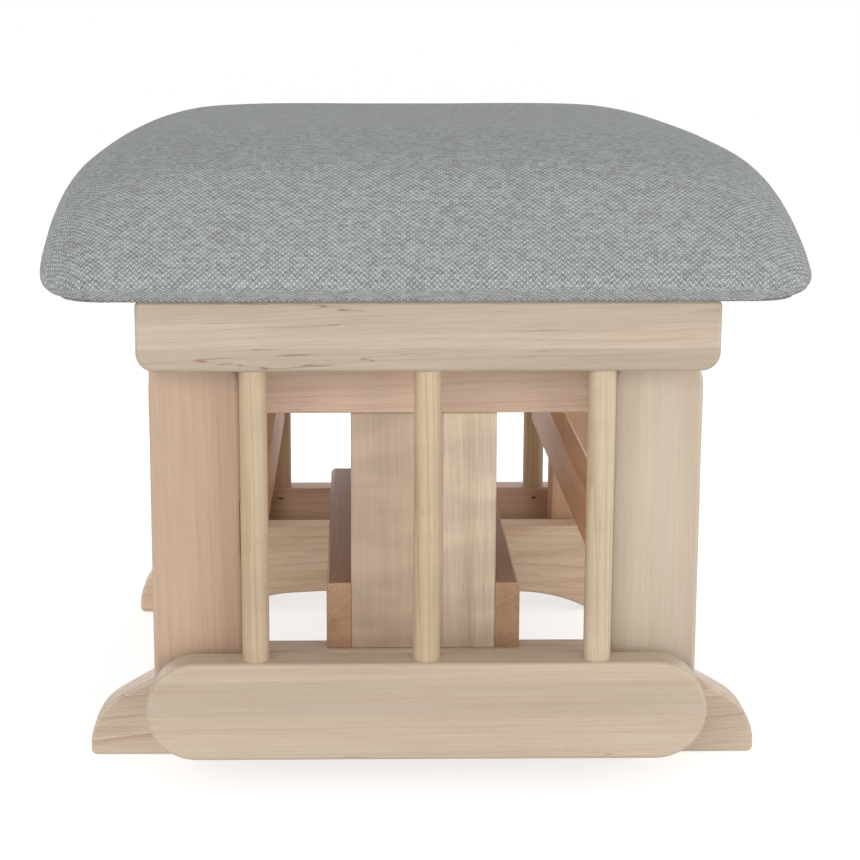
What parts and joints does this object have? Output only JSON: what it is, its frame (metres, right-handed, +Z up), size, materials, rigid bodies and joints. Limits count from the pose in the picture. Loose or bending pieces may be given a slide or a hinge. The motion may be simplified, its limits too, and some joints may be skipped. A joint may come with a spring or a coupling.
{
  "type": "glider ottoman",
  "caption": "Cushioned footstool whose seat hangs from a fixed maple base on swing links and glides sideways.",
  "frame": {"origin": "on the floor under the middle of the ottoman", "axes": "+Z up, X along the glide, Y from the near side panel to the far one"},
  "size_m": [0.534, 0.528, 0.4575],
  "materials": {
    "maple": "satin clear lacquer on pale hard maple",
    "plywood": "bare birch plywood",
    "upholstery": "heathered mid-grey chevron weave over foam",
    "zinc_steel": "bright zinc plate",
    "bearing_steel": "ground bearing steel"
  },
  "bodies": {
    "base": {"near_foot_rail": "maple", "near_post": "maple", "near_top_rail": "maple", "far_foot_rail": "maple", "far_post": "maple", "far_top_rail": "maple", "base_beam": "maple", "upper_bearings": "bearing_steel"},
    "left_swing": {"near_left_link": "maple", "far_left_link": "maple", "left_stretcher": "maple", "left_upper_pivot_bolts": "zinc_steel", "left_lower_bearings": "bearing_steel"},
    "right_swing": {"near_right_link": "maple", "far_right_link": "maple", "right_stretcher": "maple", "right_upper_pivot_bolts": "zinc_steel", "right_lower_bearings": "bearing_steel"},
    "seat": {"near_seat_rail": "maple", "near_lower_rail": "maple", "near_left_spindle": "maple", "near_middle_spindle": "maple", "near_right_spindle": "maple", "far_seat_rail": "maple", "far_lower_rail": "maple", "far_left_spindle": "maple", "far_middle_spindle": "maple", "far_right_spindle": "maple", "left_cross_rail": "maple", "right_cross_rail": "maple", "cushion_board": "plywood", "cushion": "upholstery", "lower_pivot_bolts": "zinc_steel"}
  },
  "joints": [
    {"name": "left_swing_pivot", "type": "hinge", "parent": "base", "child": "left_swing", "pos_m": [-0.1624, 0, 0.285], "axis": [0, 1, 0], "range_deg": [-15, 15]},
    {"name": "right_swing_pivot", "type": "hinge", "parent": "base", "child": "right_swing", "pos_m": [0.1624, 0, 0.285], "axis": [0, 1, 0], "range_deg": [-15, 15]},
    {"name": "seat_pivot", "type": "hinge", "parent": "left_swing", "child": "seat", "pos_m": [-0.1624, 0, 0.061], "axis": [0, 1, 0], "range_deg": [-15, 15]}
  ],
  "couplings": [
    {"joint": "right_swing_pivot", "follows": "left_swing_pivot", "ratio": 1},
    {"joint": "seat_pivot", "follows": "left_swing_pivot", "ratio": -1}
  ]
}
